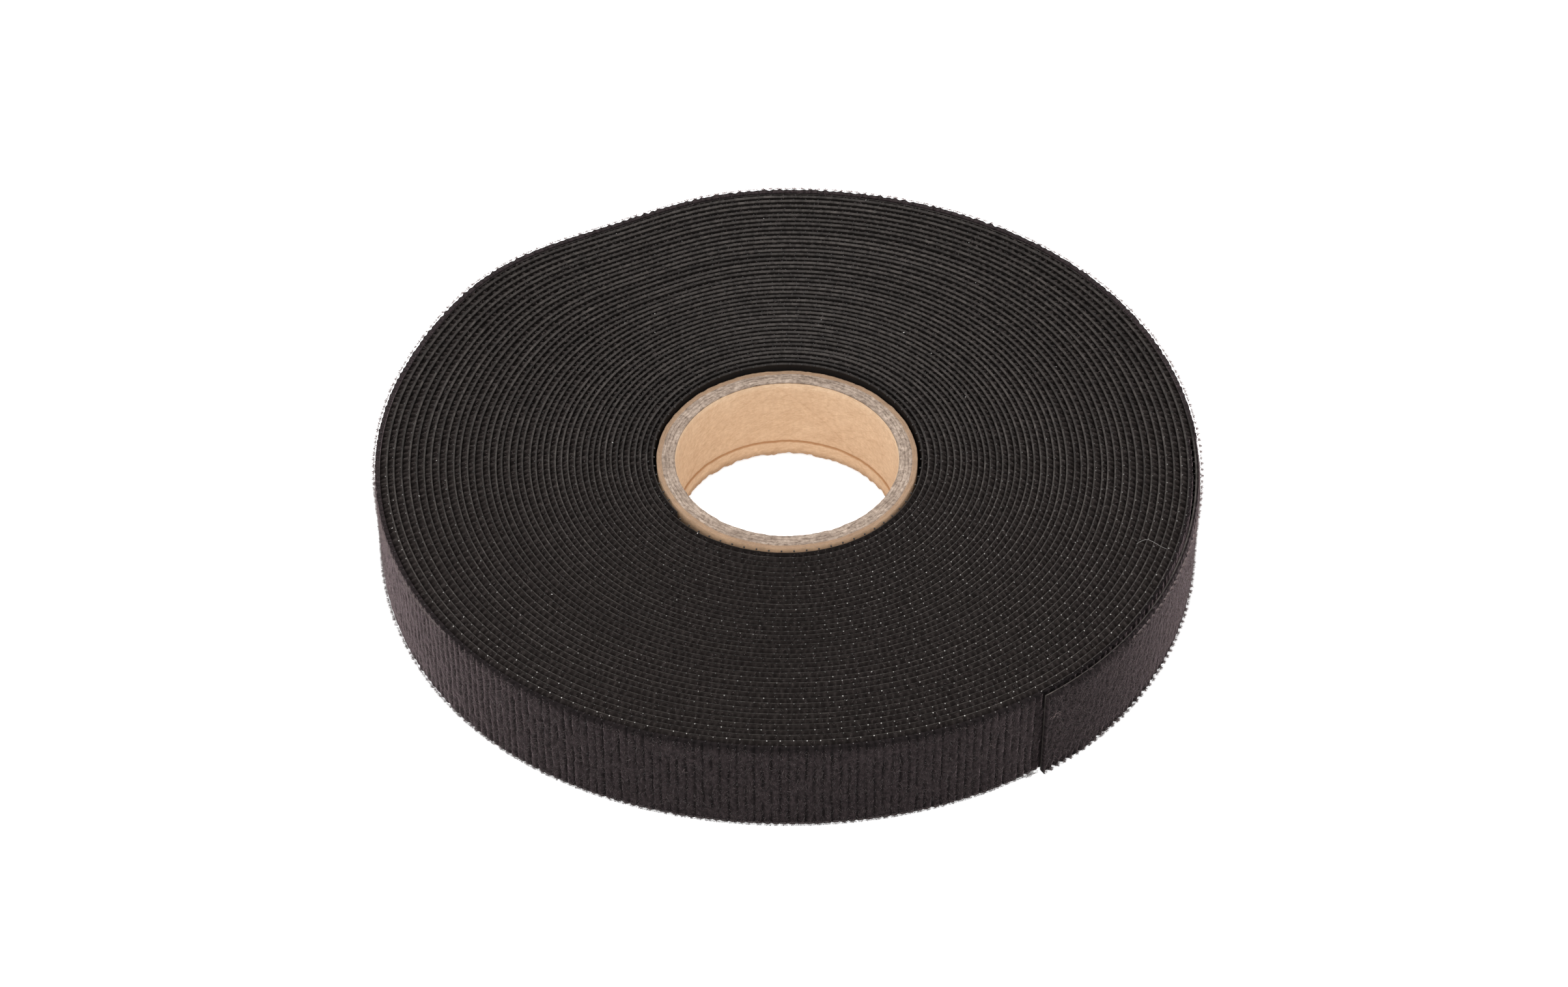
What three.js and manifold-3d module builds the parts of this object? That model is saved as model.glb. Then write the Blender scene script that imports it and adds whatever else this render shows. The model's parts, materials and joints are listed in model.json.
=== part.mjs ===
// A roll of back-to-back hook and loop tape, wound on a cardboard tube and lying on its side.
// Millimetres, +Z up. The origin is in the middle of the roll's outline, in the plane that the roll lies on.
// The tape is two webs bonded back to back: the hook web faces the core, the loop web faces out.
import * as THREE from "three";
import { mergeVertices } from "three/addons/utils/BufferGeometryUtils.js";
import Module from "manifold-3d";

const wasm = await Module();
wasm.setup();

// Cardboard core, from the bore outwards
const BORE_RADIUS = 16.6;
const LINER_PLY = 0.36;
const BOARD_PLY = 0.55;
const BOARD_PLIES = 3;
const OUTER_PLY = 0.38;
const OUTER_PLIES = 2;
const CORE_LENGTH = 14.4;
const CORE_RECESS = 0.64; // the middle of the core's top edge lies this far below the tape's
const CORE_TILT = 1.25; // degrees that the core leans backwards in the roll
const LIP_HEIGHT = 2.3; // band at the foot of the liner that the slitting blade pushed inwards
const LIP_STEP = 0.22;
const LIP_SLOPE = 0.5; // height of the crease above that band
const CORE_SIDES = 48;

// Tape
const TAPE_WIDTH = 16;
const HOOK_WEB = 0.2;
const LOOP_WEB = 0.2;
const PILE_ROOM = 0.57; // mean room that hooks and pile take between one turn and the next
const LOOSENESS = 0.3; // by how much more room there is between the outermost turns than between the innermost
const WRAP_CLEARANCE = 0.3; // between the leaning core and the first turn, at the nearest
const TURNS = 42;
const TURNS_APART = 18; // outer turns that are wound one by one, over a ring of the inner ones
const TURNS_PER_GROOVE = 5; // of the inner turns, every so many show as a groove in both sides of their ring
const GROOVE_DEPTH = 0.6;
const STEPS_PER_TURN = 30;

// The roll is a little out of round: oval, slightly square, off the core's centre, and dented at the back
const EVEN_TURNS = 12; // turns next to the core that lie truly round
const OVALITY = 0.78;
const OVAL_ANGLE = -10; // of the long axis
const SQUARENESS = 0.45;
const OFF_CENTRE = 1.24; // of the outermost turn, from the core's axis
const OFF_CENTRE_ANGLE = 102;
const DENT_DEPTH = 2.8;
const DENT_ANGLE = 119;
const DIP_DEPTH = 0.8; // beside the dent
const DIP_ANGLE = 153;
const DENT_REACH = 11; // degrees over which the dent and the dip run out on each side

// The free end, which peels off the roll in short stiff lengths
const TAIL_END_ANGLE = -53;
const TAIL_LENGTH = 60;
const TAIL_PIECES = 8;
const TAIL_PIECE_STEPS = 2;
const FLEX_GAP = 0.3; // between neighbouring lengths, and at every butt of one web on the next

const radians = THREE.MathUtils.degToRad;
const FULL_TURN = 2 * Math.PI;

// Worked out from the above
const CORE_RADIUS = BORE_RADIUS + LINER_PLY + BOARD_PLIES * BOARD_PLY + OUTER_PLIES * OUTER_PLY;
const PITCH = HOOK_WEB + LOOP_WEB + PILE_ROOM;
const CORE_LEAN = (CORE_LENGTH / 2) * Math.sin(radians(CORE_TILT)); // of the core's ends, off the axis
const FIRST_TURN_RADIUS = CORE_RADIUS + CORE_LEAN + WRAP_CLEARANCE;
const BOND_RADIUS = FIRST_TURN_RADIUS + HOOK_WEB + TURNS * PITCH; // of the bonded faces, at the free end
const TAIL_SPAN = TAIL_LENGTH / BOND_RADIUS;
const WOUND_SPAN = TURNS_APART * FULL_TURN;
const LOOSE_RADIUS = FIRST_TURN_RADIUS + HOOK_WEB + EVEN_TURNS * PITCH; // inside this the turns lie truly round

// Finishes
const kraft = new THREE.MeshStandardMaterial({ color: 0xd9b48c, roughness: 0.9, metalness: 0 });
const greyBoard = new THREE.MeshStandardMaterial({ color: 0xa8947f, roughness: 0.95, metalness: 0 });
const hookNylon = new THREE.MeshStandardMaterial({ color: 0x3a3836, roughness: 0.5, metalness: 0 });
const loopKnit = new THREE.MeshStandardMaterial({ color: 0x2b2728, roughness: 0.95, metalness: 0 });

const roll = new THREE.Group();
roll.position.x = -OFF_CENTRE * Math.cos(radians(OFF_CENTRE_ANGLE));
roll.position.y = -OFF_CENTRE * Math.sin(radians(OFF_CENTRE_ANGLE));
const core = new THREE.Group();
core.position.z = TAPE_WIDTH - CORE_RECESS - CORE_LENGTH / 2;
core.rotation.x = -radians(CORE_TILT);
roll.add(core);

function addPiece(name, geometry, material, parent = roll) {
  const piece = new THREE.Mesh(geometry, material);
  piece.name = name;
  parent.add(piece);
}

// A smooth local swelling of the outline, one high, around the angle `centre` in degrees.
function swelling(angle, centre) {
  const away = THREE.MathUtils.euclideanModulo(angle - radians(centre) + Math.PI, FULL_TURN) - Math.PI;
  return Math.exp(-0.5 * (away / radians(DENT_REACH)) ** 2);
}

// How far the outline at this angle leaves a true circle, fading to nothing at LOOSE_RADIUS.
function unevenness(angle, radius) {
  const share = Math.max(0, (radius - LOOSE_RADIUS) / (BOND_RADIUS - LOOSE_RADIUS));
  const oval = OVALITY * Math.cos(2 * (angle - radians(OVAL_ANGLE)));
  const square = SQUARENESS * Math.cos(4 * angle);
  const shift = OFF_CENTRE * Math.cos(angle - radians(OFF_CENTRE_ANGLE));
  const knocks = DENT_DEPTH * swelling(angle, DENT_ANGLE) + DIP_DEPTH * swelling(angle, DIP_ANGLE);
  return share * (oval - square + shift - knocks);
}

// Radius of the bonded faces, `inward` radians in from the free end, of a roll that is truly round.
function plainRadius(inward) {
  const turns = inward / FULL_TURN;
  return BOND_RADIUS - turns * (PITCH + (LOOSENESS / 2) * (1 - turns / TURNS));
}

// A point in plan on the tape, measured from the core's axis: `inward` radians in from the free end and
// `offset` outside the bonded faces.
function tapePoint(inward, offset) {
  const angle = radians(TAIL_END_ANGLE) + inward;
  const radius = plainRadius(inward);
  const length = radius + unevenness(angle, radius) + offset;
  return new THREE.Vector2(length * Math.cos(angle), length * Math.sin(angle));
}

// Plan points along the tape between two places, at even steps.
function tapeLine(from, to, steps, offset) {
  return Array.from({ length: steps + 1 }, (_, i) => tapePoint(from + ((to - from) * i) / steps, offset));
}

// A closed upright strip between two lines of plan points and two heights, which are the tape's edges if not given.
function stripGeometry(innerLine, outerLine, low = 0, high = TAPE_WIDTH) {
  const corners = [];
  innerLine.forEach((inner, i) => {
    const outer = outerLine[i];
    corners.push(inner.x, inner.y, low, outer.x, outer.y, low);
    corners.push(outer.x, outer.y, high, inner.x, inner.y, high);
  });
  const faces = [];
  const quad = (a, b, c, d) => faces.push(a, b, c, a, c, d);
  for (let i = 0; i + 1 < innerLine.length; i++) {
    const here = 4 * i;
    const next = here + 4;
    for (let side = 0; side < 4; side++) {
      const following = (side + 1) % 4;
      quad(here + side, next + side, next + following, here + following);
    }
  }
  const last = 4 * (innerLine.length - 1);
  quad(0, 1, 2, 3);
  quad(last + 3, last + 2, last + 1, last);
  const geometry = new THREE.BufferGeometry();
  geometry.setAttribute("position", new THREE.Float32BufferAttribute(corners, 3));
  geometry.setIndex(faces);
  geometry.computeVertexNormals();
  return geometry;
}

// The two bonded webs over one stretch of tape.
function addTape(label, from, to, steps) {
  const bond = tapeLine(from, to, steps, 0);
  addPiece(`${label}_hook_web`, stripGeometry(tapeLine(from, to, steps, -HOOK_WEB), bond), hookNylon);
  addPiece(`${label}_loop_web`, stripGeometry(bond, tapeLine(from, to, steps, LOOP_WEB)), loopKnit);
}

// Core plies, each a ring glued to the next, measured from the middle of the core
const CORE_TOP = CORE_LENGTH / 2;
const CORE_FOOT = -CORE_TOP;

function plyRing(innerRadius, thickness) {
  const outerRadius = innerRadius + thickness;
  const profile = [
    new THREE.Vector2(innerRadius, CORE_FOOT),
    new THREE.Vector2(outerRadius, CORE_FOOT),
    new THREE.Vector2(outerRadius, CORE_TOP),
    new THREE.Vector2(innerRadius, CORE_TOP),
    new THREE.Vector2(innerRadius, CORE_FOOT),
  ];
  return new THREE.LatheGeometry(profile, CORE_SIDES).rotateX(Math.PI / 2);
}

// The liner's foot is a band that stands into the bore, under a sloping crease.
function linerRing() {
  const lipRadius = BORE_RADIUS - LIP_STEP;
  const outerRadius = BORE_RADIUS + LINER_PLY;
  const profile = [
    new THREE.Vector2(lipRadius, CORE_FOOT),
    new THREE.Vector2(outerRadius, CORE_FOOT),
    new THREE.Vector2(outerRadius, CORE_TOP),
    new THREE.Vector2(BORE_RADIUS, CORE_TOP),
    new THREE.Vector2(BORE_RADIUS, CORE_FOOT + LIP_HEIGHT + LIP_SLOPE),
    new THREE.Vector2(lipRadius, CORE_FOOT + LIP_HEIGHT),
    new THREE.Vector2(lipRadius, CORE_FOOT),
  ];
  return new THREE.LatheGeometry(profile, CORE_SIDES).rotateX(Math.PI / 2);
}

addPiece("core_inner_liner", linerRing(), kraft, core);
let plyRadius = BORE_RADIUS + LINER_PLY;
for (let i = 1; i <= BOARD_PLIES; i++) {
  addPiece(`core_board_ply_${i}`, plyRing(plyRadius, BOARD_PLY), greyBoard, core);
  plyRadius += BOARD_PLY;
}
for (let i = 1; i <= OUTER_PLIES; i++) {
  addPiece(`core_outer_ply_${i}`, plyRing(plyRadius, OUTER_PLY), kraft, core);
  plyRadius += OUTER_PLY;
}

// Booleans on closed meshes
function toSolid(geometry) {
  geometry.deleteAttribute("normal");
  geometry.deleteAttribute("uv");
  const merged = mergeVertices(geometry);
  const vertProperties = new Float32Array(merged.attributes.position.array);
  const triVerts = new Uint32Array(merged.index.array);
  return new wasm.Manifold(new wasm.Mesh({ numProp: 3, vertProperties, triVerts }));
}

function toGeometry(solid) {
  const mesh = solid.getMesh();
  const geometry = new THREE.BufferGeometry();
  geometry.setAttribute("position", new THREE.BufferAttribute(mesh.vertProperties, 3));
  geometry.setIndex(new THREE.BufferAttribute(mesh.triVerts, 1));
  geometry.computeVertexNormals();
  return geometry;
}

// Inner turns: one ring, whose outside is the outer face of the next turn in and steps where the webs butt
function innerRing() {
  const from = WOUND_SPAN + FLEX_GAP / plainRadius(WOUND_SPAN);
  const outline = new THREE.Shape(tapeLine(from, from + FULL_TURN, STEPS_PER_TURN, LOOP_WEB));
  outline.closePath();
  outline.holes.push(new THREE.Path().absarc(0, 0, FIRST_TURN_RADIUS, 0, FULL_TURN, true));
  return new THREE.ExtrudeGeometry(outline, {
    depth: TAPE_WIDTH,
    bevelEnabled: false,
    curveSegments: CORE_SIDES,
  });
}

// The room between two turns over one whole turn, between two heights
function groove(turn, low, high) {
  const from = turn * FULL_TURN;
  const nearLine = tapeLine(from, from + FULL_TURN, STEPS_PER_TURN, LOOP_WEB);
  const farLine = tapeLine(from - FULL_TURN, from, STEPS_PER_TURN, -HOOK_WEB);
  return toSolid(stripGeometry(nearLine, farLine, low, high));
}

function innerTurns() {
  let ring = toSolid(innerRing());
  for (let turn = TURNS_APART + TURNS_PER_GROOVE; turn < TURNS; turn += TURNS_PER_GROOVE) {
    ring = ring.subtract(groove(turn, TAPE_WIDTH - GROOVE_DEPTH, TAPE_WIDTH + GROOVE_DEPTH));
    ring = ring.subtract(groove(turn, -GROOVE_DEPTH, GROOVE_DEPTH));
  }
  return toGeometry(ring);
}
addPiece("inner_turns", innerTurns(), loopKnit);

// Outer turns, from the free end's root inwards
addTape("wound", TAIL_SPAN, WOUND_SPAN, Math.round(STEPS_PER_TURN * (TURNS_APART - TAIL_SPAN / FULL_TURN)));

// Free end: tail_1 is next to the roll, and the last length ends in the cut
const tailStep = TAIL_SPAN / TAIL_PIECES;
const gapAngle = FLEX_GAP / BOND_RADIUS;
for (let i = 1; i <= TAIL_PIECES; i++) {
  const root = TAIL_SPAN - (i - 1) * tailStep;
  addTape(`tail_${i}`, root - tailStep, root - gapAngle, TAIL_PIECE_STEPS);
}

// Least room between one turn and the next, measured from points on the loop web to the hook web outside it
function leastGap() {
  const count = STEPS_PER_TURN * TURNS_APART;
  const outer = tapeLine(0, WOUND_SPAN, count, LOOP_WEB);
  const inner = tapeLine(0, WOUND_SPAN, count, -HOOK_WEB);
  let least = Infinity;
  for (let i = STEPS_PER_TURN; i <= count; i++) {
    for (let j = i - STEPS_PER_TURN - 1; j <= i - STEPS_PER_TURN; j++) {
      if (j < 0) continue;
      const segment = new THREE.Line3(
        new THREE.Vector3(inner[j].x, inner[j].y, 0),
        new THREE.Vector3(inner[j + 1].x, inner[j + 1].y, 0),
      );
      const point = new THREE.Vector3(outer[i].x, outer[i].y, 0);
      const nearest = segment.closestPointToPoint(point, true, new THREE.Vector3());
      least = Math.min(least, nearest.distanceTo(point));
    }
  }
  return least;
}
console.log(`least gap between turns: ${leastGap().toFixed(3)} mm`);

export default roll;
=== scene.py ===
"""Looks of a roll of back-to-back hook and loop tape on a cardboard core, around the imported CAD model.

The tape is one spiral. A place on it is given by its length from the cut end, and every strip, hook and
fibre is laid along that spiral, so that each piece sits where its CAD solid is.
"""
import json
import math
import random
from collections import namedtuple

import bmesh
import bpy
from bpy.props import FloatProperty, FloatVectorProperty, IntProperty, PointerProperty
from mathutils import Matrix, Vector, noise

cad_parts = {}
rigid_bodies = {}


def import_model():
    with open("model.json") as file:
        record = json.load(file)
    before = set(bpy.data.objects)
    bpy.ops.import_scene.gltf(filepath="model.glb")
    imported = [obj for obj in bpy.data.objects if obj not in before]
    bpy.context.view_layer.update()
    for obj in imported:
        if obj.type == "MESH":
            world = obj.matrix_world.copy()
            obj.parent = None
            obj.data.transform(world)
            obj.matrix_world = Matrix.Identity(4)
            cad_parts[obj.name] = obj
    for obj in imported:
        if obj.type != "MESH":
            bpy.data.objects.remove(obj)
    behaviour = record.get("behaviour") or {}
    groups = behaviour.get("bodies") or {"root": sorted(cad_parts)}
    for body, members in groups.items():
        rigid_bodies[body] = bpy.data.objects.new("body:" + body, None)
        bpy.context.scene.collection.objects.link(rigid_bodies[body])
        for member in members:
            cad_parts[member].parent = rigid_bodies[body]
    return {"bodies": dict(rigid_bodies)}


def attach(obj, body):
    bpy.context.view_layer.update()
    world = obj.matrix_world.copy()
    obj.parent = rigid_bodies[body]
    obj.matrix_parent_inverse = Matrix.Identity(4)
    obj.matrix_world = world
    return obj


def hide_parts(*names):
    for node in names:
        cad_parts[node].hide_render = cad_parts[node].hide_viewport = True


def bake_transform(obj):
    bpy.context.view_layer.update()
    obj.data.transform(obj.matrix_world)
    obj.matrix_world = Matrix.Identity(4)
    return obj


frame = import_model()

bl_info = {
    "name": "Hook and Loop Tape Roll",
    "version": (1, 0, 0),
    "blender": (4, 5, 0),
    "location": "View3D > Sidebar > Tape Roll",
    "description": "Winds a roll of hook and loop tape on a cardboard core",
    "category": "Object",
}

MM = 0.001
FULL_TURN = 2 * math.pi
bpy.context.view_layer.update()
ROLL = "roll"
LAY = "lay"
TAIL_BODIES = sorted(
    (name for name in frame["bodies"] if name != ROLL), key=lambda name: int(name.rsplit("_", 1)[1])
)


def length_property(name, description, millimetres):
    """A size in metres whose default is given in millimetres."""
    return FloatProperty(
        name=name, description=description, default=millimetres * MM, unit="LENGTH", precision=5
    )


def angle_property(name, description, degrees):
    """An angle in radians whose default is given in degrees."""
    return FloatProperty(
        name=name, description=description, default=math.radians(degrees), subtype="ANGLE"
    )


def colour_property(name, description, red, green, blue):
    """A linear colour whose default is given as it looks, from 0 to 255."""
    linear = [((c / 255 + 0.055) / 1.055) ** 2.4 if c > 10 else c / 255 / 12.92 for c in (red, green, blue)]
    return FloatVectorProperty(
        name=name, description=description, default=linear, subtype="COLOR", min=0, max=1, size=3
    )


class CoreSizes(bpy.types.PropertyGroup):
    """Sizes of the cardboard core."""

    bore: length_property("Bore radius", "Radius of the hole through the core", 16.6)
    liner: length_property("Liner", "Thickness of the kraft liner", 0.36)
    board: length_property("Board ply", "Thickness of one grey board ply", 0.55)
    boards: IntProperty(name="Board plies", description="Number of grey board plies", default=3)
    outer: length_property("Outer ply", "Thickness of one outer kraft ply", 0.38)
    outers: IntProperty(name="Outer plies", description="Number of outer kraft plies", default=2)
    length: length_property("Length", "Length of the core along its axis", 14.4)
    recess: length_property("Recess", "Depth of the middle of its top edge below the tape's", 0.64)
    tilt: angle_property("Tilt", "How far the core leans backwards in the roll", 1.25)
    lip_height: length_property("Lip height", "Height of the pushed-in band at the liner's foot", 2.3)
    lip_step: length_property("Lip step", "How far that band stands into the bore", 0.22)


class TapeSizes(bpy.types.PropertyGroup):
    """Sizes of the tape and of the roll that it makes."""

    width: length_property("Width", "Width of the tape", 16)
    hook_web: length_property("Hook web", "Thickness of the hook web's film", 0.2)
    loop_web: length_property("Loop web", "Thickness of the loop web's ground", 0.2)
    pile_room: length_property("Pile room", "Mean room for hooks and pile between two turns", 0.57)
    looseness: length_property("Looseness", "Room of the outermost turns over the innermost", 0.3)
    clearance: length_property("Clearance", "Between the leaning core and the first turn", 0.3)
    turns: IntProperty(name="Turns", description="Turns on the core", default=42)
    turns_apart: IntProperty(name="Outer turns", description="Turns wound one by one in CAD", default=18)
    even_turns: IntProperty(name="Even turns", description="Turns by the core that lie round", default=12)
    ovality: length_property("Ovality", "How far the roll is oval", 0.78)
    oval_angle: angle_property("Oval angle", "Where its long axis lies", -10)
    squareness: length_property("Squareness", "How far the roll is squared off", 0.45)
    off_centre: length_property("Off centre", "Of the outermost turn, from the core's axis", 1.24)
    off_centre_angle: angle_property("Off centre angle", "Where it is off to", 102)
    dent_depth: length_property("Dent", "Depth of the dent at the back", 2.8)
    dent_angle: angle_property("Dent angle", "Where the dent is", 119)
    dip_depth: length_property("Dip", "Depth of the dip beside the dent", 0.8)
    dip_angle: angle_property("Dip angle", "Where the dip is", 153)
    dent_reach: angle_property("Dent reach", "How far dent and dip run out", 11)
    tail_end: angle_property("Tail end", "Where the cut end of the tape lies", -53)
    inner_end: angle_property("Inner end", "Where the tape starts on the core", -144)
    tail_length: length_property("Tail length", "Length of the free end that peels", 60)
    rib: length_property("Rib", "Spacing of the ribs of the pile", 1.24)
    hook_row: length_property("Hook row", "Spacing of the hooks along the tape", 1.94)


class Finishes(bpy.types.PropertyGroup):
    """Colours as they look in plain light."""

    film: colour_property("Film edge", "Cut edge of the hook film", 132, 124, 119)
    film_face: colour_property("Film face", "Flat of the hook film", 27, 24, 23)
    pile: colour_property("Pile", "Brushed loop pile", 62, 54, 55)
    # Dark colour of the pile and its fibres, and the painted shade in the hollows between two turns.
    pile_dark_and_shade: colour_property("Deep pile", "Hollows between two turns", 23, 19, 18)
    # Painted shade in the grooves between the ribs of the pile.
    shaded_groove: colour_property("Groove", "Grooves between the ribs of the pile", 13, 11, 11)
    pile_sheen: colour_property("Pile sheen", "Sheen of the brushed fibres", 214, 190, 194)
    fibre: colour_property("Fibre", "Lightest of the loose fibres", 168, 146, 144)
    turn_edge: colour_property("Turn edge", "Yarn ends between two turns", 68, 62, 60)
    # Light end of the painted glint on the hook tips, and the lightest of the loose hairs.
    hook_tip: colour_property("Hook tip", "Cut hooks at the tape's edge", 196, 192, 188)
    kraft: colour_property("Kraft", "Kraft liner of the bore", 234, 206, 174)
    # Darker fibres of the liner, and the painted shade of its creases.
    kraft_fibre_and_shade: colour_property("Kraft fibre", "Darker fibres and creases of the liner", 166, 120, 80)
    board: colour_property("Board", "Grey board on the core's edge", 203, 184, 168)
    board_fibre: colour_property("Board fibre", "Darker fibres of the grey board", 104, 88, 76)
    outer: colour_property("Outer ply", "Outer kraft ply on the core's side", 204, 168, 135)
    lint: colour_property("Lint", "Specks of lint", 214, 212, 208)
    floor: colour_property("Floor", "Floor and backdrop", 244, 244, 244)


class CameraSizes(bpy.types.PropertyGroup):
    """Where the photograph was taken from."""

    elevation: angle_property("Elevation", "Height of the camera over the roll", 44.29)
    distance: length_property("Distance", "From the middle of the core's top edge", 581.1)
    aim_x: length_property("Aim X", "Where the camera points, across", -0.45)
    aim_y: length_property("Aim Y", "Where the camera points, along", -7.4)
    lens: FloatProperty(name="Lens", description="Focal length on a 36 mm frame", default=89.93)


class TapeRollSettings(bpy.types.PropertyGroup):
    """All that a user would change."""

    core: PointerProperty(type=CoreSizes)
    tape: PointerProperty(type=TapeSizes)
    finish: PointerProperty(type=Finishes)
    camera: PointerProperty(type=CameraSizes)


def settings():
    """The values of this scene."""
    return bpy.context.scene.tape_roll


SETTLING_TURNS = 6
END_GAP = 0.12 * MM
END_REACH = 0.9
WOBBLE = 0.16 * MM
WOBBLE_LENGTH = 12 * MM


class TapePath:
    """The spiral that the tape lies on, measured from its cut end inwards."""

    def __init__(self):
        core = settings().core
        tape = settings().tape
        self.tape = tape
        self.core_radius = core.bore + core.liner + core.boards * core.board + core.outers * core.outer
        lean = 0.5 * core.length * math.sin(core.tilt)
        first = self.core_radius + lean + tape.clearance + tape.hook_web
        self.pitch = tape.hook_web + tape.loop_web + tape.pile_room
        self.bond = first + tape.turns * self.pitch
        self.loose = first + tape.even_turns * self.pitch
        off = tape.off_centre_angle
        self.axis = Vector((-math.cos(off), -math.sin(off), 0)) * tape.off_centre
        short = (tape.tail_end - tape.inner_end) % FULL_TURN
        self.last = tape.turns * FULL_TURN - short
        self.settled = self.last - SETTLING_TURNS * FULL_TURN
        self.settling = self.pitch * short / FULL_TURN
        self.inner_pitch = self.pitch - 0.5 * tape.looseness
        self.tail_span = tape.tail_length / self.bond
        self.tail_step = self.tail_span / len(TAIL_BODIES)

    def swelling(self, angle, centre):
        """A smooth local swelling of the outline, one high."""
        away = (angle - centre + math.pi) % FULL_TURN - math.pi
        return math.exp(-0.5 * (away / self.tape.dent_reach) ** 2)

    def fall(self, inward):
        """How far a turn drops onto the core, past the step that the tape's inner end makes."""
        past = (inward - self.last) % FULL_TURN
        step = max(0.0, self.inner_pitch * (1 - past / FULL_TURN) - END_GAP)
        ease = bounded(past / END_REACH)
        return step * ease ** 2 * (3 - 2 * ease)

    def radius(self, inward):
        """Radius of the bonded faces at this angle in from the cut end."""
        tape = self.tape
        angle = tape.tail_end + inward
        turns = inward / FULL_TURN
        plain = self.bond - turns * (self.pitch + 0.5 * tape.looseness * (1 - turns / tape.turns))
        depth = bounded((inward - self.settled) / (self.last - self.settled))
        plain -= depth * (self.settling + self.fall(inward))
        loose = bounded(turns - 1.2) * bounded(3 * (1 - depth))
        plain += WOBBLE * loose * rough(inward * self.core_radius, 2, 2, WOBBLE_LENGTH)
        share = max(0.0, (plain - self.loose) / (self.bond - self.loose))
        if share == 0.0:
            return plain
        oval = tape.ovality * math.cos(2 * (angle - tape.oval_angle))
        square = tape.squareness * math.cos(4 * angle)
        shift = tape.off_centre * math.cos(angle - tape.off_centre_angle)
        dent = tape.dent_depth * self.swelling(angle, tape.dent_angle)
        dip = tape.dip_depth * self.swelling(angle, tape.dip_angle)
        return plain + share * (oval - square + shift - dent - dip)

    def shaded(self, inward):
        """Whether the turn lies in the dark beside the core, which reaches further at the back."""
        return inward > self.last - FULL_TURN * (1 + 0.8 * bounded(2 * self.out(inward).y))

    def room(self, inward):
        """Distance from this turn to the next one out."""
        return self.radius(inward - FULL_TURN) - self.radius(inward)

    def out(self, inward):
        """Direction away from the axis."""
        angle = self.tape.tail_end + inward
        return Vector((math.cos(angle), math.sin(angle), 0))

    def out_and_side(self, inward):
        """Direction away from the axis, and the one along the tape."""
        out = self.out(inward)
        return out, Vector((-out.y, out.x, 0))

    def foot(self, inward):
        """The point of the bonded faces on the floor."""
        return self.axis + self.out(inward) * self.radius(inward)

    def place(self, inward, offset, height):
        """The point this far outside the bonded faces and above the floor."""
        return self.foot(inward) + self.out(inward) * offset + Vector((0, 0, height))

    def length(self, inward):
        """Length of tape from the cut end."""
        return self.bond * inward - self.pitch * inward * inward / (2 * FULL_TURN)

    def inward(self, length):
        """Angle in from the cut end at this length of tape."""
        root = self.bond * self.bond - 2 * self.pitch * length / FULL_TURN
        return (self.bond - math.sqrt(max(0.0, root))) * FULL_TURN / self.pitch


def rough(a, b, c, scale):
    """Smooth noise from -1 to 1 at a place given in metres."""
    return noise.noise(Vector((a / scale, b / scale, c / scale)))


def bounded(value):
    """Keeps a value between 0 and 1."""
    return min(1.0, max(0.0, value))


def finish_mesh(name, bm, materials, slot=None, body=None, node=None, smooth=True):
    """Turns a bmesh into a piece at the origin, with its body and the CAD node it replaces. Its slot is not
    used.
    """
    for face in bm.faces:
        face.smooth = smooth
    mesh = bpy.data.meshes.new(name)
    bm.to_mesh(mesh)
    bm.free()
    for material in materials:
        mesh.materials.append(material)
    piece = bpy.data.objects.new(name, mesh)
    bpy.context.scene.collection.objects.link(piece)
    if body:
        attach(piece, body)
    if node:
        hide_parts(node)
    return piece


def new_bmesh():
    """A bmesh whose vertices hold where they lie: along the tape, up it, and how light they are."""
    bm = bmesh.new()
    bm.verts.layers.float_vector.new(LAY)
    return bm


SHARP_ANGLE = math.radians(60)


def wind_strip(path, start, end, step, corners, section):
    """One closed strip along the tape between two lengths. section(along, inward) gives the offset, height
    and tone of each of its corners."""
    bm = new_bmesh()
    lay = bm.verts.layers.float_vector[LAY]
    count = max(1, round((end - start) / step))
    bmesh.ops.create_grid(bm, x_segments=count, y_segments=corners, size=0.5)
    columns = {}
    for vert in bm.verts:
        column = round((vert.co.x + 0.5) * count)
        corner = round((vert.co.y + 0.5) * corners) % corners
        columns.setdefault(column, []).append((vert, corner))
    for column, members in columns.items():
        along = start + (end - start) * column / count
        inward = path.inward(along)
        foot = path.foot(inward)
        out = path.out(inward)
        places = section(along, inward)
        for vert, corner in members:
            offset, height, tone = places[corner]
            vert.co = foot + out * offset
            vert.co.z = height
            vert[lay] = (along / MM, height / MM, tone)
    bmesh.ops.remove_doubles(bm, verts=bm.verts, dist=1e-8)
    bmesh.ops.holes_fill(bm, edges=[edge for edge in bm.edges if edge.is_boundary], sides=0)
    bmesh.ops.recalc_face_normals(bm, faces=bm.faces)
    for edge in bm.edges:
        edge.smooth = edge.calc_face_angle(0.0) < SHARP_ANGLE
    return bm


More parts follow.
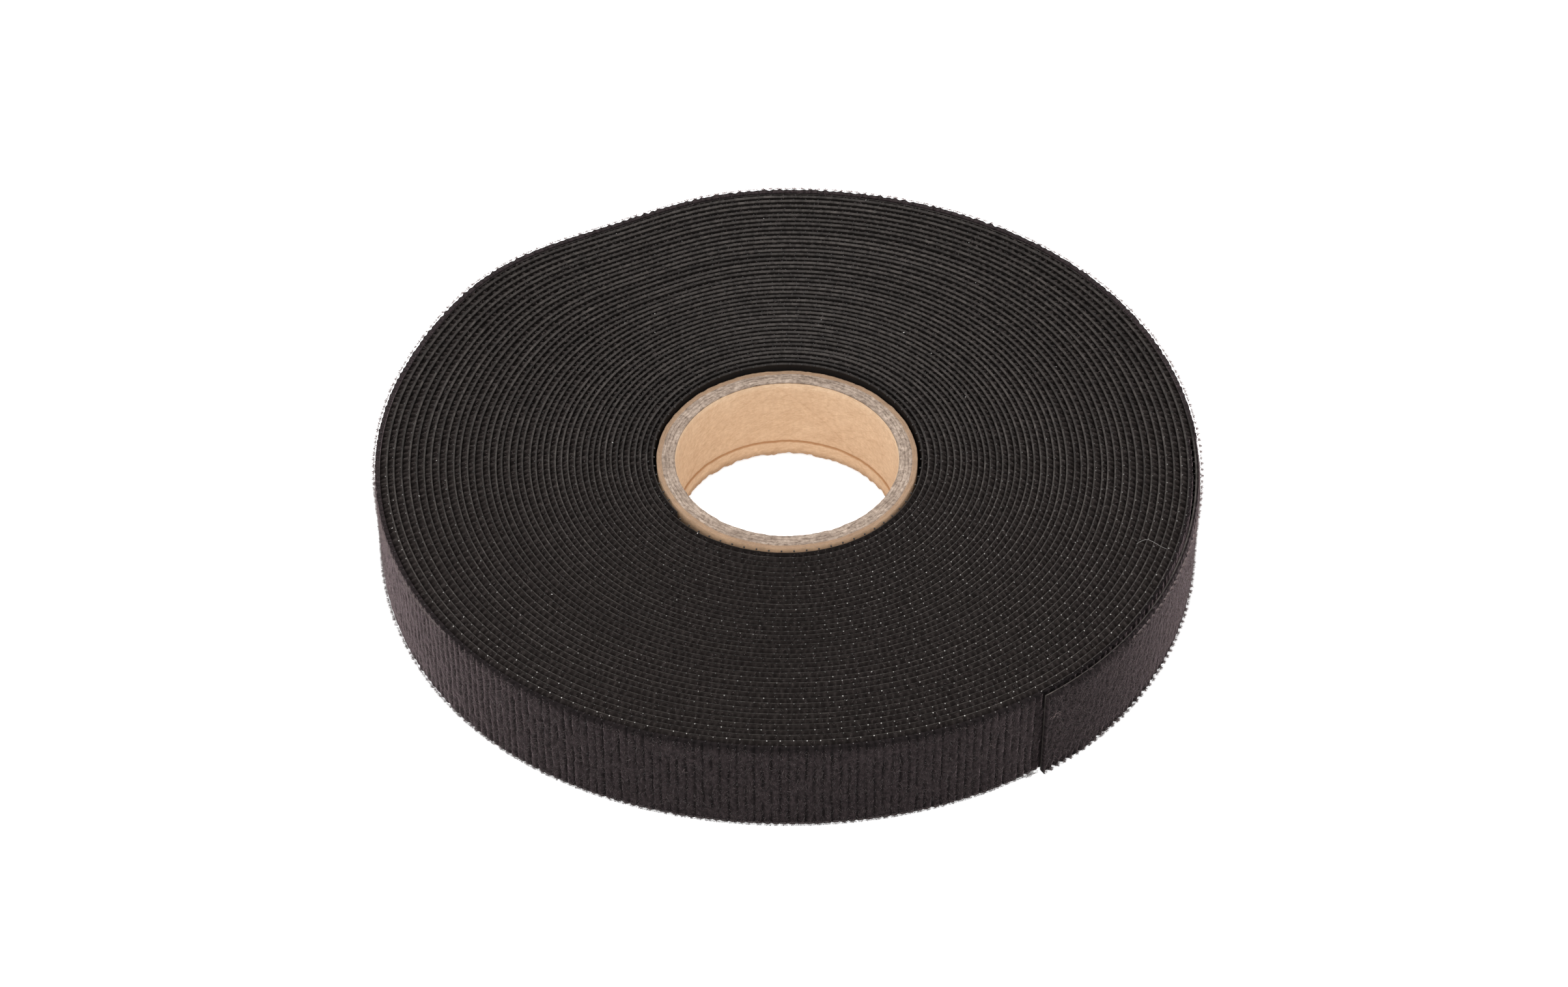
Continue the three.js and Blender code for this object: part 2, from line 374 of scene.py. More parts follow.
def scatter(bm, count, make_template, put):
    """Adds count copies of a small shape. put(number) gives the matrix of a copy and its lay."""
    places = [put(number) for number in range(count)]
    seed = new_bmesh()
    copy = seed.verts.layers.int.new("copy")
    lay = seed.verts.layers.float_vector[LAY]
    make_template(seed)
    made = 1
    while made < count:
        twins = bmesh.ops.duplicate(seed, geom=seed.verts[:] + seed.edges[:] + seed.faces[:])["geom"]
        for item in twins:
            if isinstance(item, bmesh.types.BMVert):
                item[copy] += made
        made *= 2
    extra = [vert for vert in seed.verts if vert[copy] >= count]
    bmesh.ops.delete(seed, geom=extra, context="VERTS")
    for vert in seed.verts:
        matrix, facts = places[vert[copy]]
        vert.co = matrix @ vert.co
        vert[lay] = facts
    mesh = bpy.data.meshes.new("scatter")
    seed.to_mesh(mesh)
    seed.free()
    bm.from_mesh(mesh)
    bpy.data.meshes.remove(mesh)


def fibre_template(bm):
    """A three-sided fibre, one long and one across, that tapers to a point."""
    upright = Matrix.Translation((0, 0, 0.5))
    bmesh.ops.create_cone(bm, cap_ends=True, segments=3, radius1=0.5, radius2=0, depth=1, matrix=upright)


def bead_template(bm):
    """A small bead, one across."""
    bmesh.ops.create_uvsphere(bm, u_segments=5, v_segments=3, radius=0.5)


def fibre_matrix(root, direction, length, thickness):
    """Puts the fibre template at a root."""
    turn = direction.to_track_quat("Z", "X").to_matrix().to_4x4()
    return Matrix.Translation(root) @ turn @ Matrix.Diagonal((thickness, thickness, length, 1))


class Value:
    """A shader socket that takes part in Python expressions."""

    def __init__(self, finish, socket):
        self.finish = finish
        self.socket = socket

    def maths(self, operation, left, right):
        """Adds a Math node."""
        return self.finish.node("ShaderNodeMath", {"operation": operation}, {0: left, 1: right})

    def __add__(self, other):
        return self.maths("ADD", self, other)

    def __radd__(self, other):
        return self.maths("ADD", other, self)

    def __sub__(self, other):
        return self.maths("SUBTRACT", self, other)

    def __rsub__(self, other):
        return self.maths("SUBTRACT", other, self)

    def __mul__(self, other):
        return self.maths("MULTIPLY", self, other)

    def __rmul__(self, other):
        return self.maths("MULTIPLY", other, self)

    def __abs__(self):
        return self.maths("ABSOLUTE", self, 0)


Lay = namedtuple("Lay", "place along height tone")


class Finish:
    """A material, its nodes and its shader."""

    def __init__(self, name):
        self.material = bpy.data.materials.new(name)
        self.material.use_nodes = True
        self.tree = self.material.node_tree
        self.shader = self.tree.nodes["Principled BSDF"]

    def node(self, kind, set_first=None, sockets=None, output=0):
        """Adds a node with its settings, then its sockets, and gives one of its outputs."""
        made = self.tree.nodes.new(kind)
        for key, value in (set_first or {}).items():
            if key == "stops":
                while len(made.color_ramp.elements) < len(value):
                    made.color_ramp.elements.new(0.5)
                for element, (position, shade) in zip(made.color_ramp.elements, value):
                    element.position = position
                    element.color = (shade, shade, shade, 1)
            else:
                setattr(made, key, value)
        for key, value in (sockets or {}).items():
            self.feed(made.inputs[key], value)
        return Value(self, made.outputs[output])

    def feed(self, socket, value):
        """Links a value to a socket, or sets the socket."""
        if isinstance(value, Value):
            self.tree.links.new(value.socket, socket)
        elif hasattr(value, "__len__") and socket.type == "RGBA":
            socket.default_value = (*value[:3], 1)
        else:
            socket.default_value = value

    def set(self, **sockets):
        """Sets or links sockets of the shader, named with _ for spaces."""
        for key, value in sockets.items():
            self.feed(self.shader.inputs[key.replace("_", " ")], value)

    def mix(self, factor, first, second):
        """Colour between two colours."""
        return self.node(
            "ShaderNodeMix", {"data_type": "RGBA"}, {"Factor": factor, 6: first, 7: second}, output=2
        )

    def ramp(self, factor, *stops):
        """Smooth grey steps as a value."""
        return self.node("ShaderNodeValToRGB", {"stops": stops}, {0: factor})

    def lay(self):
        """Where a point lies on its piece: its place, along it, up it, and its tone."""
        vector = self.node("ShaderNodeAttribute", {"attribute_name": LAY}, output=1)
        split = self.node("ShaderNodeSeparateXYZ", None, {0: vector})
        return Lay(vector, *(Value(self, output) for output in split.socket.node.outputs))

    def object_place(self):
        """Object coordinates."""
        return self.node("ShaderNodeTexCoord", output=3)

    def noise(self, vector, scale, stretch=(1, 1, 1), detail=3.0, roughness=0.6):
        """Noise from 0 to 1 on a stretched place."""
        placed = self.node("ShaderNodeMapping", None, {0: vector, "Scale": Vector(stretch)})
        sockets = {"Vector": placed, "Scale": scale, "Detail": detail, "Roughness": roughness}
        return self.node("ShaderNodeTexNoise", None, sockets)

    def bump(self, height, strength, distance):
        """A bumped normal."""
        sockets = {"Strength": strength, "Distance": distance, "Height": height}
        return self.node("ShaderNodeBump", None, sockets)


def film_finish():
    """Dark film whose edges and cut end are lighter."""
    colours = settings().finish
    made = Finish("hook_film")
    lay = made.lay()
    cut = made.ramp(lay.along, (0.0, 0.03), (0.2, 0.03), (0.35, 0))
    grain = made.noise(lay.place, 1.0, (1.5, 0.6, 0.0), 4.0)
    wear = made.ramp(grain, (0.38, 0.4), (0.6, 1.0))
    made.set(
        Base_Color=made.mix(lay.tone * wear + cut, colours.film_face, colours.film),
        Roughness=0.62 - 0.2 * grain,
        Normal=made.bump(made.noise(lay.place, 3.0), 0.3, 0.1 * MM),
        Specular_IOR_Level=0.14,
    )
    return made.material


def turn_finish():
    """Yarn ends and hooks between two turns, on their edges, with painted shade in their tone."""
    colours = settings().finish
    made = Finish("turn_edges")
    lay = made.lay()
    speck = made.noise(made.object_place(), 2600.0, (1, 1, 1), 4.0, 0.7)
    light = lay.tone * made.ramp(speck, (0.32, 0.4), (0.66, 1.0))
    made.set(
        Base_Color=made.mix(light, colours.pile_dark_and_shade, colours.turn_edge),
        Roughness=0.9,
        Normal=made.bump(speck, 0.6, 0.2 * MM),
        Specular_IOR_Level=0.05,
    )
    return made.material


def pile_finish(name, sheen, hollow):
    """Brushed loop pile with fine strands, whose hollows have this tone. Its tone carries painted shade,
    down to the colour of the shaded grooves.
    """
    colours = settings().finish
    made = Finish(name)
    lay = made.lay()
    strands = made.noise(lay.place, 1.0, (3.2, 2.0, 0.0), 4.0, 0.6)
    tufts = made.noise(lay.place, 1.0, (1.7, 1.2, 0.0), 2.0, 0.5)
    cloud = made.noise(lay.place, 1.0, (0.12, 0.2, 0.0), 2.0, 0.5)
    light = made.ramp(strands * 0.5 + tufts * 0.5, (0.39, hollow), (0.6, 1.0))
    shade = light * lay.tone * (0.75 + 0.5 * cloud)
    made.set(
        Base_Color=made.mix(shade, colours.shaded_groove, colours.pile),
        Roughness=0.95,
        Normal=made.bump(strands + 0.5 * tufts, 0.7, 0.2 * MM),
        Specular_IOR_Level=0.05,
        Sheen_Weight=sheen,
        Sheen_Roughness=0.24,
        Sheen_Tint=colours.pile_sheen,
    )
    return made.material


def fibre_finish():
    """Loose fibres of the pile, whose tone carries painted sheen."""
    colours = settings().finish
    made = Finish("pile_fibres")
    lay = made.lay()
    colour = made.mix(lay.tone, colours.pile_dark_and_shade, colours.fibre)
    made.set(Base_Color=colour, Roughness=0.8, Specular_IOR_Level=0.2, Sheen_Weight=0.2)
    return made.material


def hook_finish():
    """Shiny cut hooks, whose light tone is a painted glint."""
    colours = settings().finish
    made = Finish("hook_tips")
    lay = made.lay()
    grain = made.noise(lay.place, 2.0, (1, 1, 0))
    made.set(
        Base_Color=made.mix(lay.tone, colours.film_face, colours.hook_tip),
        Roughness=0.42 - 0.15 * grain,
        Specular_IOR_Level=0.5,
    )
    return made.material


SEAM_SLOPE = 0.79
SEAM_START = -0.46


def paper_finish(name, light, dark, contrast, flow, seam=False):
    """Paper with fibres round the core, blotches and, in the bore, a slanted seam and creases drawn as
    painted shade.
    """
    made = Finish(name)
    lay = made.lay()
    fibre = made.noise(lay.place, 1.0, (flow, 4.0, 1.0), 5.0, 0.7)
    blotch = made.noise(lay.place, 1.0, (0.22, 0.5, 1.0), 3.0, 0.55)
    grain = made.noise(made.object_place(), 1500.0, (1, 1, 1), 4.0, 0.7)
    mark = made.ramp(fibre * 0.5 + grain * 0.5, (0.34, 1.0), (0.62, 0.0))
    stain = made.ramp(blotch, (0.36, 1.0), (0.66, 0.0))
    clean = (1 - contrast * mark) * (1 - 0.35 * contrast * stain) * lay.tone
    if seam:
        away = lay.height - SEAM_SLOPE * lay.along - SEAM_START + 0.5 * fibre
        line = made.ramp(abs(away), (0.0, 1.0), (0.18, 0.25), (0.5, 0.0))
        across = lay.height + 0.5 * lay.along
        slant = made.node("ShaderNodeCombineXYZ", None, {0: across, 1: lay.along * 0.12})
        # Painted shade in fine creases.
        crease = made.ramp(made.noise(slant, 0.7), (0.53, 0.0), (0.56, 1.0), (0.59, 0.0))
        clean = clean * (1 - 0.3 * line * stain) * (1 - 0.16 * crease)
    made.set(
        Base_Color=made.mix(1 - clean, light, dark),
        Roughness=0.86 + 0.1 * fibre,
        Normal=made.bump(fibre + grain, 0.5, 0.12 * MM),
        Specular_IOR_Level=0.2,
    )
    return made.material


def lint_finish():
    """Pale lint."""
    made = Finish("lint")
    lay = made.lay()
    colours = settings().finish
    made.set(Base_Color=made.mix(lay.tone, colours.pile, colours.lint), Roughness=0.7)
    return made.material


def hair_finish():
    """Pale loose hairs."""
    colours = settings().finish
    made = Finish("loose_hair")
    grain = made.noise(made.object_place(), 900.0)
    made.set(Base_Color=made.mix(grain, colours.pile, colours.hook_tip), Roughness=0.5)
    return made.material


FINISHES = {}


def finish(name):
    """A material by name, made once."""
    if name not in FINISHES:
        colours = settings().finish
        makers = {
            "film": film_finish,
            "turns": turn_finish,
            "pile": lambda: pile_finish("loop_pile", 0.94, 0.3),
            "felt": lambda: pile_finish("felted_pile", 0.62, 0.05),
            "fibre": fibre_finish,
            "hook": hook_finish,
            "lint": lint_finish,
            "hair": hair_finish,
            "kraft": lambda: paper_finish(
                "kraft_liner", colours.kraft, colours.kraft_fibre_and_shade, 0.4, 0.9, seam=True
            ),
            "board": lambda: paper_finish("grey_board", colours.board, colours.board_fibre, 1.1, 0.8),
            "outer": lambda: paper_finish("outer_kraft", colours.outer, colours.board_fibre, 0.45, 1.3),
        }
        FINISHES[name] = makers[name]()
    return FINISHES[name]


FILM_CORNERS = 8
FILM_FOOT = 0.04 * MM
FILM_LAP = 0.015 * MM
EDGE_BAND = 0.3 * MM
EDGE_BEVEL = 0.17 * MM
EDGE_STEP = 0.04 * MM
EDGE_TONE = 0.25
# Tone of the painted shade on the hook side below its lighter band.
DEEP_FACE_SHADE = 0.05
OUTER_SINK = 0.3 * MM
CORNER_GLINT = 2.3 * MM
CUT_SHADE = 0.3 * MM


def film_shape(path, ragged, shine):
    """Section of the hook film: its two dull edges, and on the hook side of each a band of painted light
    below the edge, with painted shade further down the gap. Painted shade darkens it round the outside of
    the roll, beside the core and at the cut end, and painted glints lie beside the cut and in rare spots
    along it."""
    tape = path.tape

    def section(along, inward):
        lift = abs(ragged * rough(along, 0, 3, 1.6 * MM) + ragged * rough(along, 5, 0, 7 * MM))
        lump = 0.8 + 0.3 * rough(along, 9, 1, 1.1 * MM) + 0.5 * rough(along, 2, 7, 30 * MM)
        inside = -tape.hook_web
        outside = FILM_LAP
        # Painted glint: rare light spots along the film's edges.
        glint = bounded(3 * (rough(along, 8, 4, 2.2 * MM) - 0.42))
        bright = shine * lump
        edge = EDGE_TONE * bright + 0.3 * glint
        # Painted glint along the edges beside the cut.
        if along < CORNER_GLINT:
            edge += 0.6 * bounded(0.7 + rough(along, 1, 1, 0.7 * MM))
        # Painted shade on the edges of the outermost turn, whose film is also sunk.
        if path.tail_span < inward < FULL_TURN:
            edge *= 0.25
            lift += OUTER_SINK * bounded(2 * (inward - path.tail_span))
        # Painted shade beside the core.
        if path.shaded(inward):
            bright *= 0.2
            edge *= 0.5
        # Painted shade on the cut end.
        if along < CUT_SHADE:
            bright *= 0.1
            edge *= 0.2
        low = FILM_FOOT + lift
        high = tape.width - lift
        # The hook side is painted light in a band below the bevel and painted shade further down the gap.
        return (
            (inside, low + EDGE_BEVEL, edge),
            (outside, low, edge),
            (outside, high, edge),
            (inside, high - EDGE_BEVEL, edge),
            (inside, high - EDGE_BEVEL - EDGE_STEP, bright),
            (inside, high - EDGE_BAND, DEEP_FACE_SHADE * bright),
            (inside, low + EDGE_BAND, DEEP_FACE_SHADE * bright),
            (inside, low + EDGE_BEVEL + EDGE_STEP, bright),
        )

    return section


TURN_CORNERS = 7
TURN_GAP = 0.02 * MM
RUNG = 1.06 * MM


def turn_shape(path):
    """Section of the pile between two turns. It stands high on the loop web and drops to pits at the hooks
    of the next turn out, between rungs where the ribs of the pile end. Its tone is painted shade: dark in
    the pits and along the next turn's film, lighter on the rungs and the crest, and darker beside the core."""
    tape = path.tape

    def section(along, inward):
        near = TURN_GAP
        far = path.room(inward) - tape.hook_web - TURN_GAP
        reach = far - near
        phase = along / RUNG + 0.7 * rough(along, 4, 4, 3 * MM)
        rung = (0.5 + 0.5 * math.cos(FULL_TURN * phase)) ** 3
        rung *= bounded(0.9 + rough(along, 1, 8, 2 * MM)) * (0.5 + 0.5 * abs(path.out(inward).x))
        # Painted shade on the turns beside the core.
        lit = 0.35 if path.shaded(inward) else 1.0
        fuzz = rough(along, 6, 2, 0.7 * MM)
        strand = rough(along, 3, 5, 0.9 * MM)
        top = tape.width / MM
        slope_tone = lit * (0.2 + 0.75 * rung + 0.2 * fuzz)
        crest_tone = lit * (0.4 + 0.35 * rung + 0.25 * fuzz)
        # Painted shade: the pits and the corner by the next turn's film are dark, the rungs and the crest
        # lighter.
        return (
            (near, 0.08 * MM, 0.8),
            (near + 0.5 * reach, (0.35 - 0.2 * rung) * MM, 0.3 + 0.4 * rung),
            (far, (0.7 - 0.55 * rung) * MM, 0.1 + 0.5 * rung),
            (far, (top - 0.85 + 0.5 * rung) * MM, 0.03 + 0.5 * rung),
            (near + 0.75 * reach, (top - 0.7 + 0.6 * rung + 0.06 * strand) * MM, 0.05 + 0.9 * rung),
            (near + 0.3 * reach, (top - 0.34 + 0.22 * rung + 0.1 * fuzz) * MM, slope_tone),
            (near, (top - 0.14 + 0.05 * strand) * MM, crest_tone),
        )

    return section


STEPS_PER_RIB = 6
PILE_ROWS = 36
PILE_CORNERS = PILE_ROWS + 2
PILE_SINK = 0.05 * MM
PILE_RIB = 0.24 * MM
PILE_TUFT = 0.18 * MM
PILE_CLUMP = 0.18 * MM
STEP_SHADE = 1.2 * MM


def rib_sway(along, height):
    """How far a rib wanders from its place at this height."""
    return 0.16 * MM * rough(along, height, 3, 5 * MM) + 0.1 * MM * rough(along, height, 7, 1.3 * MM)


def pile_shape(path, rib_depth, brightness, tooth_depth):
    """Section of the brushed outside: two corners on the film and a column of rows outside. It is pressed
    flat under the free end. Its ribs show as far as rib_depth says, and fully at the foot, where they end in
    teeth. The free end has a rounded upper edge. Painted shade darkens its grooves, most at the front, its
    top rows, most at the front of the roll, its foot against the film, and the pile under the free end and
    beside its step."""
    tape = path.tape
    under = path.length(FULL_TURN)

    def section(along, inward):
        over_roll = inward <= path.tail_span
        cover = 0.02 * MM if over_roll else -0.8 * tape.hook_web
        # Painted shade on the top rows: darkest at the front of the roll, none towards the back, and a fixed
        # amount on the free end.
        painted_top_shade = 0.7 if over_roll else 0.35 + 0.65 * bounded(0.7 + path.out(inward).y)
        places = [(cover, tape.width - 0.16 * MM, painted_top_shade), (cover, 0.1 * MM, 0.05)]
        facing = bounded(-2.2 * path.out(inward).y - 0.9)
        toothed = 1 if over_roll else 1 - 0.7 * facing
        most = path.room(inward) - tape.hook_web - 0.06 * MM if inward > FULL_TURN else tape.width
        # Painted shade on the pile under the free end and beside the step that its cut end makes.
        painted_step_shade = brightness * (0.35 + 0.65 * bounded((under - along) / STEP_SHADE))
        for row in range(PILE_ROWS):
            share = row / (PILE_ROWS - 1)
            height = 0.05 * MM + share * (tape.width - 0.14 * MM)
            wave = 0.5 + 0.5 * math.cos(FULL_TURN * (along + rib_sway(along, height)) / tape.rib)
            broken = bounded(0.75 + 1.3 * rough(along, height * 0.5, 6, 1.5 * MM))
            ribbed = rib_depth + (1 - rib_depth) * bounded((0.12 - share) / 0.07)
            # The groove deepens the pile between the ribs and paints shade into it, most at the front.
            shaded_groove = ribbed * broken * (1 - wave) ** 3 * (0.35 + 0.65 * facing)
            edge = bounded(1 - min(share, 1 - share) / 0.09)
            edge *= 1.0 if share < 0.5 else 0.4
            uneven = bounded(0.7 + 1.4 * rough(along, 0, 5, 1.7 * MM))
            tooth = edge * (1 - wave) * uneven * toothed
            tuft = 0.5 + 0.5 * rough(along, height, 9, 0.45 * MM)
            clump = 0.5 + 0.5 * rough(along, height, 2, 0.9 * MM)
            end = min(1.0, 0.7 + 6 * min(share, 1 - share))
            if over_roll:
                end = min(end, 0.2 + 12 * (1 - share))
            pile = PILE_RIB * (1 - shaded_groove) + PILE_TUFT * tuft + PILE_CLUMP * clump - PILE_SINK
            pile -= tooth_depth * (tooth - 0.3 * edge)
            offset = min(most, tape.loop_web + pile * end)
            tone = painted_step_shade * (1 - 0.95 * shaded_groove) * (0.6 + 0.5 * tuft) * bounded(painted_top_shade + 7 * (1 - share))
            if row in (0, PILE_ROWS - 1):
                height += 0.25 * MM * rough(along, row, 4, 0.8 * MM)
            places.append((offset, max(0.0, height), tone))
        return places

    return section


FRINGE_SHARE = 0.35
FIBRES_PER_MM = 130
LONGEST_FIBRE = 0.8 * MM
FRONT_RIMS = (0.004, 0.02, 0.04, 0.03)
OTHER_RIMS = (0.004, 0.02, 0.99, 0.992)


def add_pile_fibres(path, bm, start, end, spread, seed):
    """Short loose fibres that stand on the pile between two lengths of tape, and a fringe of shorter ones on
    the ribs, along the foot and, away from the front, along the upper edge too."""
    draw = random.Random(seed)
    tape = path.tape
    count = round((end - start) / MM * FIBRES_PER_MM)

    def put(number):
        fringe = draw.random() < FRINGE_SHARE
        along = draw.uniform(start, end)
        if fringe:
            crest = tape.rib * round(along / tape.rib) + draw.gauss(0, spread)
            along = crest if start < crest < end else along
        inward = path.inward(along)
        out, side = path.out_and_side(inward)
        beside = bounded(1.5 + 1.8 * out.y)
        height = tape.width * draw.uniform(0.0, 0.98)
        if fringe:
            height = tape.width * draw.choice(FRONT_RIMS if out.y < -0.6 else OTHER_RIMS)
        root = path.place(inward, tape.loop_web + (0.42 if fringe else 0.3) * MM, height)
        lean = Vector((0, 0, min(0.4, draw.gauss(0, 0.9))))
        direction = (out * draw.uniform(0.45, 1.0) + side * draw.gauss(0, 0.6) + lean).normalized()
        if fringe or height < 1 * MM:
            direction.z = abs(direction.z) * 0.2
        long = LONGEST_FIBRE * (draw.uniform(0.3, 0.65) if fringe else draw.uniform(0.35, 1.0))
        thick = draw.uniform(0.04, 0.07) * MM
        # Painted sheen: the fibres are lighter at the sides and the back, and the fringe lighter still
        # towards the back.
        tone = draw.uniform(0.02, 0.3) + 0.24 * beside
        if fringe:
            tone += 0.1 + 0.3 * bounded(out.y)
            long *= 1 + 0.5 * beside
        return fibre_matrix(root, direction, long, thick), (along / MM, height / MM, tone)

    scatter(bm, count, fibre_template, put)


def mark_faces(bm, first, slot):
    """Gives the faces from this number on another material slot."""
    bm.faces.ensure_lookup_table()
    for face in bm.faces[first:]:
        face.material_index = slot


class TAPE_OT_core(bpy.types.Operator):
    """Wind the paper plies of the core"""

    bl_idname = "tape_roll.core"
    bl_label = "Core Plies"

    STEPS = 300
    LAP = 0.2 * MM
    SINK = 0.04 * MM
    LIFT = 0.02 * MM
    FRAY = 0.14 * MM
    WALL_ROWS = 9
    LAY_RADIUS = 18
    FRAY_RADIUS = 0.02

    def ring(self, node, profile, material, slot):
        """Spins a closed profile of (radius, height, tone, raggedness) corners, measured from the middle of
        the core, into a ply and leans it with the core."""
        core = settings().core
        bm = new_bmesh()
        lay = bm.verts.layers.float_vector[LAY]
        verts = [bm.verts.new((radius, 0, height)) for radius, height, tone, fray in profile]
        edges = [bm.edges.new((verts[i - 1], verts[i])) for i in range(len(verts))]
        bmesh.ops.spin(
            bm,
            geom=verts + edges,
            cent=(0, 0, 0),
            axis=(0, 0, 1),
            angle=FULL_TURN,
            steps=self.STEPS,
            use_merge=True,
        )
        for vert in bm.verts:
            radius = math.hypot(vert.co.x, vert.co.y)
            angle = math.atan2(vert.co.y, vert.co.x)
            nearest = min(profile, key=lambda p: abs(p[0] - radius) + abs(p[1] - vert.co.z))
            out = Vector((vert.co.x, vert.co.y, 0)).normalized()
            fray = nearest[3] * self.FRAY
            place = out * self.FRAY_RADIUS
            vert[lay] = (angle * self.LAY_RADIUS, (vert.co.z + radius) / MM, nearest[2])
            fine = rough(place.x, place.y, radius, 0.8 * MM)
            vert.co.z += fray * (fine + rough(place.x, place.y, 0, 4 * MM))
            vert.co += out * 0.5 * fray * rough(place.x, place.y, vert.co.z, 1.2 * MM)
        middle = TapePath().axis + Vector((0, 0, settings().tape.width - core.recess - 0.5 * core.length))
        lean = Matrix.Translation(middle) @ Matrix.Rotation(-core.tilt, 4, "X")
        bmesh.ops.transform(bm, matrix=lean, verts=bm.verts)
        bmesh.ops.recalc_face_normals(bm, faces=bm.faces)
        finish_mesh(node + "_paper", bm, [material], slot, ROLL, node)

    def execute(self, context):
        core = settings().core
        top = 0.5 * core.length
        foot = -top
        outer = core.bore + core.liner
        lip = core.bore - core.lip_step
        crease = foot + core.lip_height
        rim = top - self.LAP
        wall = [
            (lip, foot, 0.75, 2.2),
            (outer, foot, 0.6, 0.6),
            (outer, rim, 0.6, 0.0),
            (core.bore, rim, 0.9, 0.0),
        ]
        for row in range(1, self.WALL_ROWS + 1):
            height = rim - (rim - crease - 0.7 * MM) * row / self.WALL_ROWS
            wall.append((core.bore, height, 1.0, 0.1))
        wall += [
            # Painted shade: a dark line in the crease above the pushed-in lip.
            (core.bore + self.LIFT, crease + 0.34 * MM, 0.9, 0.5),
            (core.bore + self.LIFT, crease + 0.22 * MM, 0.1, 0.6),
            (core.bore - 0.1 * MM, crease + 0.06 * MM, 0.2, 0.6),
            (lip, crease - 0.08 * MM, 0.95, 0.6),
            (lip - 0.03 * MM, crease - 0.5 * core.lip_height, 1.0, 0.6),
        ]
        self.ring("core_inner_liner", wall, finish("kraft"), "kraft_paper")
        radius = outer
        plies = []
        for number in range(1, core.boards + 1):
            plies.append(("core_board_ply_%d" % number, core.board, "board", "grey_board"))
        for number in range(1, core.outers + 1):
            plies.append(("core_outer_ply_%d" % number, core.outer, "outer", "kraft_paper"))
        for node, thick, look, slot in plies:
            near = radius
            far = radius + thick
            rim_tone = 0.95 if look == "board" else 0.5
            profile = [
                (near, foot, 0.6, 0.3),
                (far, foot, 0.8, 0.3),
                (far, top - 1.5 * MM, 1.0, 0.0),
                (far, top - self.SINK, 0.95, 0.8),
                (far - 0.25 * thick, top, rim_tone, 1.2),
                (near + 0.25 * thick, top, rim_tone, 1.2),
            ]
            if node == "core_board_ply_1":
                profile += [
                    (core.bore + 0.05 * MM, top, 0.9, 0.8),
                    (core.bore + 0.05 * MM, rim + self.LIFT, 0.7, 0.2),
                    (near, rim + self.LIFT, 0.7, 0.0),
                ]
            else:
                profile.append((near, top - self.SINK, 0.75, 0.8))
            self.ring(node, profile, finish(look), slot)
            radius = far
        return {"FINISHED"}


class TAPE_OT_film(bpy.types.Operator):
    """Wind the hook film, one unbroken strip from the core to the root of the free end"""

    bl_idname = "tape_roll.film"
    bl_label = "Hook Film"

    STEP = 0.85 * MM
    RAGGED = 0.08 * MM

    def execute(self, context):
        path = TapePath()
        start = path.length(path.tail_span + 0.5 * path.tail_step)
        end = path.length(path.last)
        bm = wind_strip(path, start, end, self.STEP, FILM_CORNERS, film_shape(path, self.RAGGED, 1.0))
        finish_mesh("wound_film", bm, [finish("film")], "hook_web", ROLL, "wound_hook_web", smooth=False)
        return {"FINISHED"}


class TAPE_OT_turns(bpy.types.Operator):
    """Fill the turns with pile, whose yarn ends show on the roll's two sides"""

    bl_idname = "tape_roll.turns"
    bl_label = "Turns"

    FIRST_INNER_TURNS = 10

    def execute(self, context):
        path = TapePath()
        joint = path.tape.turns_apart
        middle = joint + self.FIRST_INNER_TURNS
        bands = (
            ("outer_turns_1", "wound_loop_web", "loop_web", 1 + path.tail_span / FULL_TURN, 0.5 * joint),
            ("outer_turns_2", None, "loop_web", 0.5 * joint, joint),
            ("inner_turns_1", "inner_turns", "wound_tape", joint, middle),
            ("inner_turns_2", None, "wound_tape", middle, path.last / FULL_TURN),
        )
        for name, node, slot, first, last in bands:
            start = path.length(first * FULL_TURN)
            end = path.length(last * FULL_TURN)
            bm = wind_strip(path, start, end, 0.25 * RUNG, TURN_CORNERS, turn_shape(path))
            finish_mesh(name, bm, [finish("turns")], slot, ROLL, node, smooth=False)
        return {"FINISHED"}


